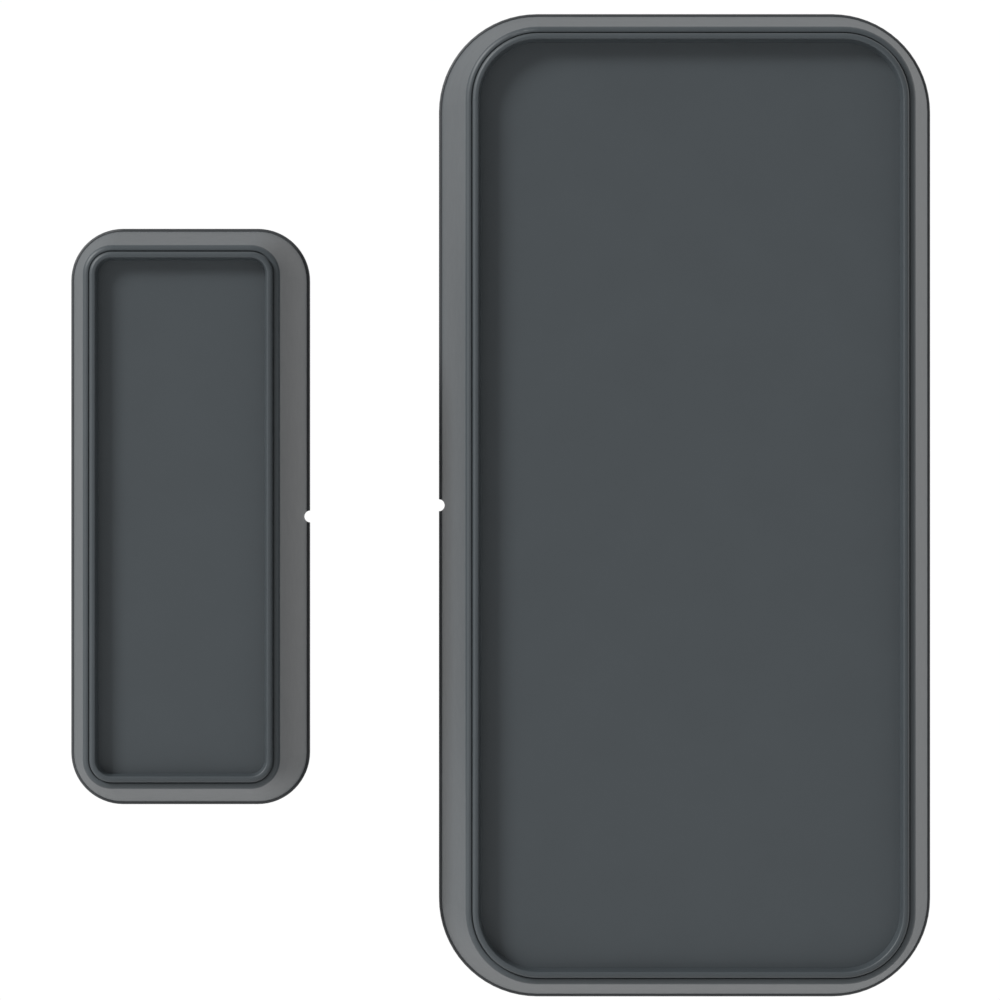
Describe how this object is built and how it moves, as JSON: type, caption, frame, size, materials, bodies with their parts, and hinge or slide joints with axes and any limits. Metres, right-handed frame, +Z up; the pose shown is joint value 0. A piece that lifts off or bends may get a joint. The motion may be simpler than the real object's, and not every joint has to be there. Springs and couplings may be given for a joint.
{
  "type": "door contact sensor",
  "caption": "Wireless door contact: a tapered sensor unit and a narrow magnet unit with dished front panels, on adhesive-backed base plates.",
  "frame": {"origin": "centre of the sensor unit's back, on the wall plane", "axes": "+X to the right seen from the front, +Z up along the units' length, +Y into the wall; the fronts face -Y"},
  "size_m": [0.0612, 0.016, 0.07],
  "materials": {
    "housing": "satin dark grey",
    "front_panel": "satin dark grey",
    "back_plate": "fine matt dark grey",
    "foam_tape": "matt white foam",
    "solder_mask": "glossy green",
    "screw_steel": "zinc plated",
    "holder_plastic": "matt black",
    "cell_steel": "brushed",
    "gasket": "matt",
    "contact_metal": "nickel plated",
    "reed_glass": "clear, faintly green",
    "shield_tin": "tin plated",
    "copper_wire": "enamelled copper",
    "switch_plastic": "matt black",
    "plunger_plastic": "off white",
    "spring_steel": "bright",
    "led_lens": "milky lens",
    "ceramic_body": "brown ceramic",
    "magnet_plating": "nickel plated"
  },
  "bodies": {
    "sensor_body": {"sensor_base": "back_plate", "sensor_adhesive_pad": "foam_tape", "circuit_board": "solder_mask", "board_screws": "screw_steel", "battery_holder": "holder_plastic", "battery_can": "cell_steel", "battery_gasket": "gasket", "battery_cap": "cell_steel", "battery_negative_contact": "contact_metal", "battery_positive_contact": "contact_metal", "reed_glass": "reed_glass", "reed_leads": "contact_metal", "radio_board": "solder_mask", "radio_shield": "shield_tin", "antenna_coil": "copper_wire", "tamper_switch_case": "switch_plastic", "tamper_spring": "spring_steel", "pairing_switch_case": "shield_tin", "controller_chip": "switch_plastic", "controller_pins": "shield_tin", "status_led": "led_lens", "crystal": "shield_tin", "board_capacitors": "ceramic_body", "board_resistors": "switch_plastic"},
    "sensor_lid": {"sensor_cover": "housing", "sensor_front_panel": "front_panel"},
    "plunger": {"tamper_plunger": "plunger_plastic"},
    "button": {"pairing_button": "switch_plastic"},
    "blade": {"reed_moving_blade": "contact_metal"},
    "magnet_body": {"magnet_base": "back_plate", "magnet_adhesive_pad": "foam_tape", "bar_magnet": "magnet_plating"},
    "magnet_lid": {"magnet_cover": "housing", "magnet_front_panel": "front_panel"}
  },
  "joints": [
    {"name": "magnet_travel", "type": "slide", "parent": "sensor_body", "child": "magnet_body", "axis": [-1, 0, 0], "range_m": [0, 0.06]},
    {"name": "sensor_cover_swing", "type": "hinge", "parent": "sensor_body", "child": "sensor_lid", "pos_m": [0, -0.00125, 0.03485], "axis": [-1, 0, 0], "range_deg": [0, 75]},
    {"name": "magnet_cover_lift", "type": "slide", "parent": "magnet_body", "child": "magnet_lid", "axis": [0, -1, 0], "range_m": [0, 0.02]},
    {"name": "tamper_plunger_slide", "type": "slide", "parent": "sensor_body", "child": "plunger", "axis": [0, -1, 0], "range_m": [0, 0.0007], "deforming": ["tamper_spring"]},
    {"name": "pairing_button_press", "type": "slide", "parent": "sensor_body", "child": "button", "axis": [0, 1, 0], "range_m": [0, 0.0003], "stiffness_N_per_m": 400},
    {"name": "reed_blade_flex", "type": "hinge", "parent": "sensor_body", "child": "blade", "pos_m": [-0.0122, -0.0066, 0.0052], "axis": [0, -1, 0], "range_deg": [0, 1.77]}
  ],
  "couplings": [
    {"joint": "tamper_plunger_slide", "follows": "sensor_cover_swing", "m_per_rad": 0.00053423},
    {"joint": "reed_blade_flex", "follows": "magnet_travel", "rad_per_m": 0.5}
  ]
}
